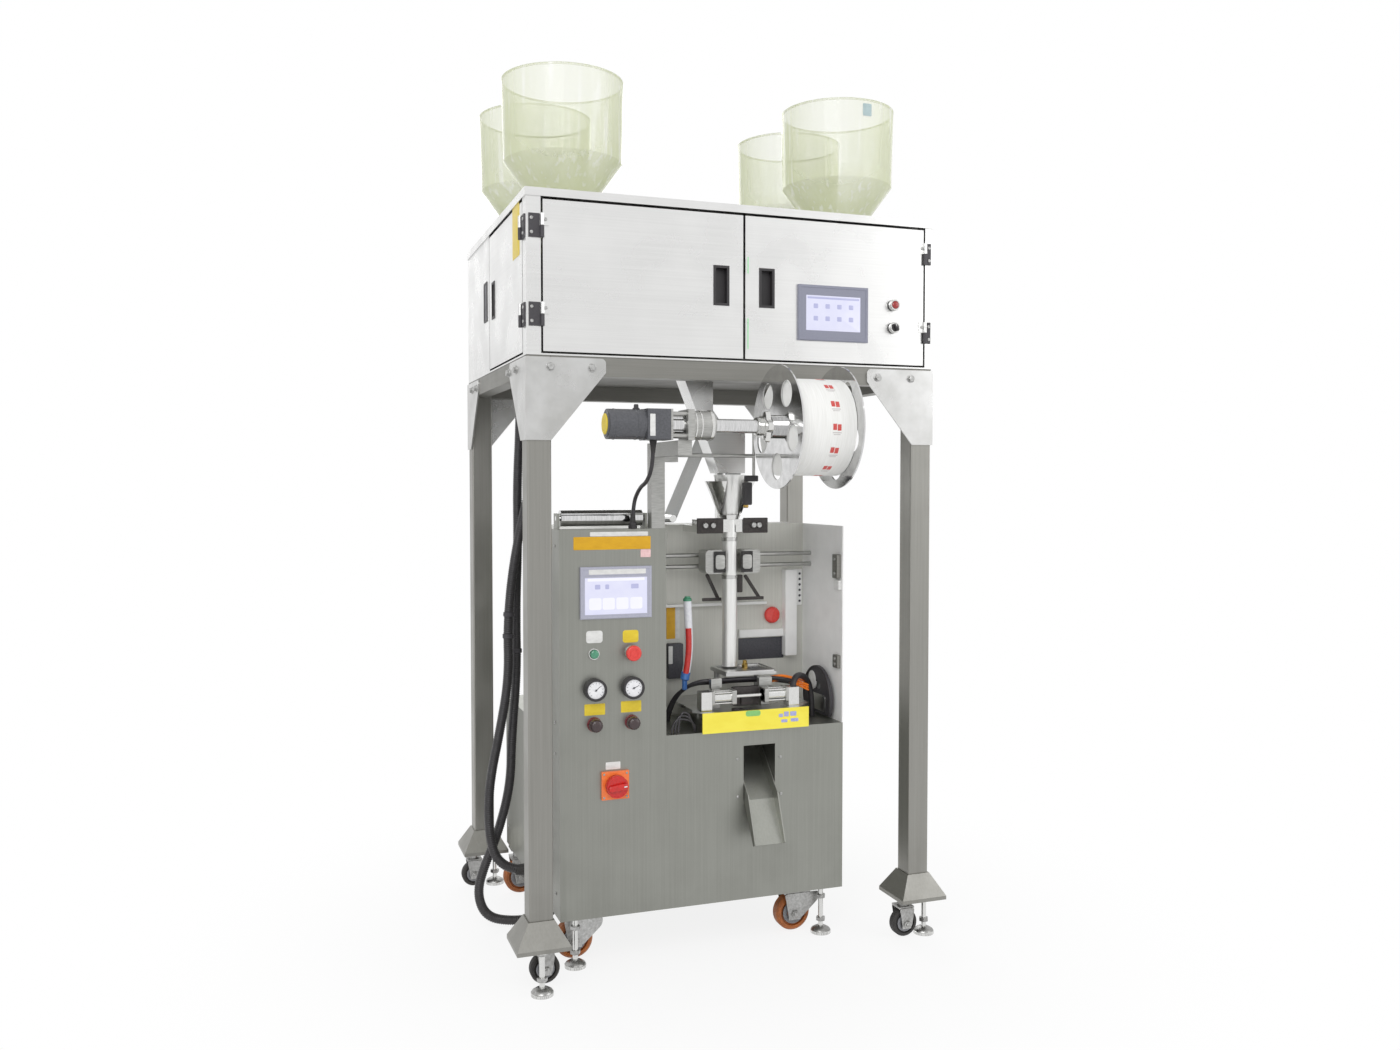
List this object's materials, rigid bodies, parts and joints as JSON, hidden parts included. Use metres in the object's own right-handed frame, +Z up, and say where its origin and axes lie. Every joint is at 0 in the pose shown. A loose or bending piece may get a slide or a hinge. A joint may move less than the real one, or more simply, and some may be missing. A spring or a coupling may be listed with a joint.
{
  "type": "tea bag packing machine",
  "caption": "Tea bag packing machine: a stainless steel form, fill and seal machine under a wheeled weighing platform with clear tea hoppers, a film reel and a discharge chute.",
  "frame": {"origin": "on the floor, under the middle of the whole outline", "axes": "+X to the right seen from the front, +Y from the front to the back, +Z up"},
  "size_m": [1.2044, 1.1759, 2.3],
  "materials": {
    "satin_steel": "brushed stainless steel tube",
    "bright_steel": "polished stainless steel",
    "zinc_steel": "zinc plated pressed steel",
    "black_rubber": "black rubber tread",
    "orange_wheel": "cast polyurethane",
    "brushed_sheet": "brushed stainless steel sheet",
    "machine_sheet": "brushed stainless steel sheet",
    "black_hinge": "black painted hinge",
    "black_plastic": "moulded black plastic",
    "dark_plastic": "dark moulded knob",
    "screen_bezel": "grey moulded bezel with a lit screen",
    "clear_hopper": "clear formed plastic",
    "green_plastic": "green push button",
    "red_plastic": "red moulded plastic",
    "gauge_body": "black case with a white dial",
    "orange_plastic": "orange moulded plate",
    "chrome_roller": "chromed steel",
    "aluminium_profile": "milled aluminium",
    "motor_paint": "grey painted casting",
    "paper_roll": "filter paper on a roll",
    "yellow_plate": "yellow painted plate",
    "black_hose": "black corrugated conduit"
  },
  "bodies": {
    "machine_frame": {"platform_posts": "satin_steel", "platform_beams": "satin_steel", "corner_gussets": "satin_steel", "post_skirts": "satin_steel", "levelling_feet": "bright_steel", "caster_forks": "zinc_steel", "platform_wheels": "black_rubber", "machine_wheels": "orange_wheel", "cabinet_floor": "brushed_sheet", "cabinet_roof": "brushed_sheet", "cabinet_walls": "brushed_sheet", "cabinet_front_frame": "brushed_sheet", "cabinet_hinges": "black_hinge", "hoppers": "clear_hopper", "discharge_chute": "brushed_sheet", "base_housing": "machine_sheet", "control_column": "machine_sheet", "rear_housing": "machine_sheet", "side_wing": "bright_steel", "outlet_chute": "bright_steel", "panel_screen": "screen_bezel", "pressure_gauges": "gauge_body", "regulator_knobs": "dark_plastic", "main_switch_plate": "orange_plastic", "roller_brackets": "machine_sheet", "reel_stand": "aluminium_profile", "gear_motor": "motor_paint", "reel_bearing": "aluminium_profile", "forming_tube": "bright_steel", "forming_collar": "bright_steel", "film_pullers": "aluminium_profile", "sealing_table": "bright_steel", "table_front_plate": "yellow_plate", "jaw_cylinders": "bright_steel", "jaw_guard": "black_plastic", "front_hose": "black_hose", "back_hose": "black_hose", "hose_glands": "black_plastic", "motor_cable": "black_hose", "film_web": "paper_roll", "web_rollers": "bright_steel"},
    "front_left_door": {"front_left_door": "brushed_sheet", "front_left_pull": "black_plastic"},
    "front_right_door": {"front_right_door": "brushed_sheet", "front_right_pull": "black_plastic", "door_screen": "screen_bezel", "door_controls": "black_plastic"},
    "left_side_door": {"left_side_door": "brushed_sheet", "left_side_pull": "black_plastic"},
    "right_side_door": {"right_side_door": "brushed_sheet", "right_side_pull": "black_plastic"},
    "reel": {"reel_spool": "chrome_roller", "film_roll": "paper_roll"},
    "film_roller": {"film_roller": "chrome_roller"},
    "main_switch_knob": {"main_switch_knob": "red_plastic"},
    "emergency_stop": {"emergency_stop": "red_plastic"},
    "start_button": {"start_button": "green_plastic"}
  },
  "joints": [
    {"name": "front_left_door_hinge", "type": "hinge", "parent": "machine_frame", "child": "front_left_door", "pos_m": [-0.5155, -0.3315, 1.7605], "axis": [0, 0, -1], "range_deg": [0, 110]},
    {"name": "front_right_door_hinge", "type": "hinge", "parent": "machine_frame", "child": "front_right_door", "pos_m": [0.5315, -0.3315, 1.7605], "axis": [0, 0, 1], "range_deg": [0, 110]},
    {"name": "left_side_door_hinge", "type": "hinge", "parent": "machine_frame", "child": "left_side_door", "pos_m": [-0.5595, -0.2825, 1.7605], "axis": [0, 0, 1], "range_deg": [0, 100]},
    {"name": "right_side_door_hinge", "type": "hinge", "parent": "machine_frame", "child": "right_side_door", "pos_m": [0.5595, -0.2825, 1.7605], "axis": [0, 0, -1], "range_deg": [0, 100]},
    {"name": "reel_spin", "type": "hinge", "parent": "machine_frame", "child": "reel", "pos_m": [-0.15, -0.434, 1.389], "axis": [1, 0, 0], "continuous": true},
    {"name": "film_roller_spin", "type": "hinge", "parent": "machine_frame", "child": "film_roller", "pos_m": [-0.3365, -0.196, 1.16], "axis": [1, 0, 0], "continuous": true},
    {"name": "main_switch_turn", "type": "hinge", "parent": "machine_frame", "child": "main_switch_knob", "pos_m": [-0.315, -0.26, 0.479], "axis": [0, -1, 0], "range_deg": [0, 90]},
    {"name": "emergency_stop_press", "type": "slide", "parent": "machine_frame", "child": "emergency_stop", "axis": [0, 1, 0], "range_m": [0, 0.005], "stiffness_N_per_m": 800},
    {"name": "start_button_press", "type": "slide", "parent": "machine_frame", "child": "start_button", "axis": [0, 1, 0], "range_m": [0, 0.004], "stiffness_N_per_m": 800}
  ]
}
